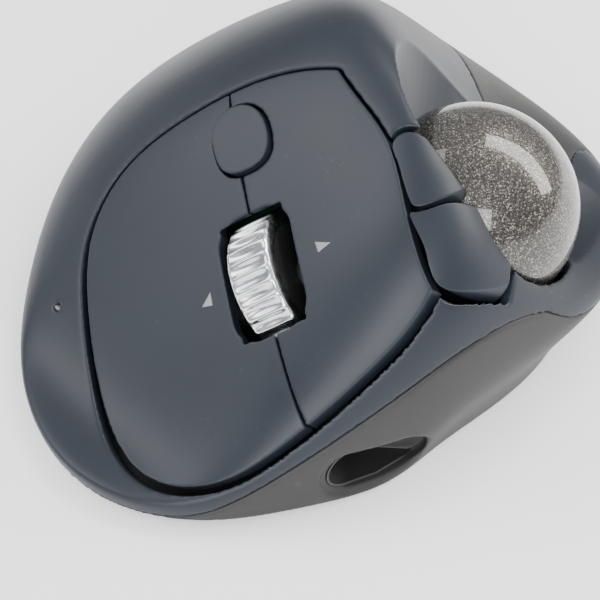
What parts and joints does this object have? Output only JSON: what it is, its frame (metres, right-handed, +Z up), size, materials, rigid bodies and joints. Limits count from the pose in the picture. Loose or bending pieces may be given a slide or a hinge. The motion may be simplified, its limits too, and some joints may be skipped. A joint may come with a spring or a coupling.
{
  "type": "trackball mouse",
  "caption": "Right-handed trackball mouse for the thumb, with main buttons, a tilting scroll wheel, side keys and a ball that rolls in a cup.",
  "frame": {"origin": "middle of the bounding box, on the surface that the feet stand on", "axes": "-Y is the nose, +X the thumb side with the ball, +Z up"},
  "size_m": [0.0988, 0.1122, 0.0509],
  "materials": {
    "shell_navy": "fine matte navy plastic",
    "base_grey": "fine textured dark grey plastic",
    "black_plastic": "moulded black plastic",
    "chip_black": "moulded chip package",
    "wheel_metal": "bright satin metal",
    "ball_glitter": "metal-flake grey under a clear gloss coat",
    "ceramic_white": "polished ceramic",
    "clear_lens": "clear optical plastic",
    "board_green": "solder-masked circuit board",
    "steel": "plain steel",
    "foot_rubber": "soft matte rubber",
    "cell_foil": "foil pouch"
  },
  "bodies": {
    "housing": {"top_shell": "shell_navy", "base": "base_grey", "ball_cup": "black_plastic", "support_bearings": "ceramic_white", "sensor_lens": "clear_lens", "optical_sensor": "chip_black", "sensor_board": "board_green", "wheel_bracket": "black_plastic", "deck_board": "board_green", "left_switch": "black_plastic", "right_switch": "black_plastic", "speed_switch": "black_plastic", "board_posts": "black_plastic", "main_board": "board_green", "usb_socket": "steel", "battery": "cell_foil", "battery_tray": "black_plastic", "feet": "foot_rubber", "case_screws": "steel"},
    "left_button": {"left_button": "shell_navy"},
    "right_button": {"right_button": "shell_navy"},
    "speed_button": {"speed_button": "shell_navy"},
    "back_button": {"back_button": "shell_navy"},
    "forward_button": {"forward_button": "shell_navy"},
    "cradle": {"wheel_cradle": "black_plastic", "tilt_pin": "steel"},
    "yoke": {"wheel_yoke": "black_plastic", "wheel_axle": "steel", "wheel_encoder": "black_plastic"},
    "wheel": {"wheel_rim": "wheel_metal", "wheel_hub": "black_plastic"},
    "ball": {"trackball": "ball_glitter"},
    "power_slider": {"power_slider": "black_plastic"},
    "pairing_button": {"pairing_button": "black_plastic"}
  },
  "joints": [
    {"name": "left_press", "type": "hinge", "parent": "housing", "child": "left_button", "pos_m": [-0.01629, -0.00033, 0.0393], "axis": [0.8194, 0, 0.5732], "range_deg": [0, 0.92], "stiffness_Nm_per_rad": 1.5},
    {"name": "right_press", "type": "hinge", "parent": "housing", "child": "right_button", "pos_m": [-0.01629, -0.00033, 0.0393], "axis": [0.8194, 0, 0.5732], "range_deg": [0, 0.92], "stiffness_Nm_per_rad": 1.5},
    {"name": "speed_press", "type": "slide", "parent": "housing", "child": "speed_button", "axis": [0.5059, 0.4699, -0.7234], "range_m": [0, 0.0006], "stiffness_N_per_m": 800},
    {"name": "back_press", "type": "slide", "parent": "housing", "child": "back_button", "axis": [0.5059, 0.4699, -0.7234], "range_m": [0, 0.0006], "stiffness_N_per_m": 800},
    {"name": "forward_press", "type": "slide", "parent": "housing", "child": "forward_button", "axis": [0.5059, 0.4699, -0.7234], "range_m": [0, 0.0006], "stiffness_N_per_m": 800},
    {"name": "wheel_click", "type": "slide", "parent": "housing", "child": "cradle", "axis": [0.5059, 0.4699, -0.7234], "range_m": [0, 0.0006], "stiffness_N_per_m": 1500},
    {"name": "wheel_tilt", "type": "hinge", "parent": "cradle", "child": "yoke", "pos_m": [0.00216, -0.01877, 0.01397], "axis": [-0.2693, 0.8827, 0.385], "range_deg": [-4, 4], "stiffness_Nm_per_rad": 0.4},
    {"name": "wheel_spin", "type": "hinge", "parent": "yoke", "child": "wheel", "pos_m": [-0.00446, -0.02492, 0.02344], "axis": [0.8194, 0, 0.5732], "continuous": true},
    {"name": "ball_roll", "type": "hinge", "parent": "housing", "child": "ball", "pos_m": [0.024, -0.0105, 0.0288], "axis": [1, 0, 0], "continuous": true},
    {"name": "power_slide", "type": "slide", "parent": "housing", "child": "power_slider", "axis": [0, 1, 0], "range_m": [0, 0.003]},
    {"name": "pairing_press", "type": "slide", "parent": "housing", "child": "pairing_button", "axis": [0, 0, 1], "range_m": [0, 0.0004], "stiffness_N_per_m": 800}
  ]
}
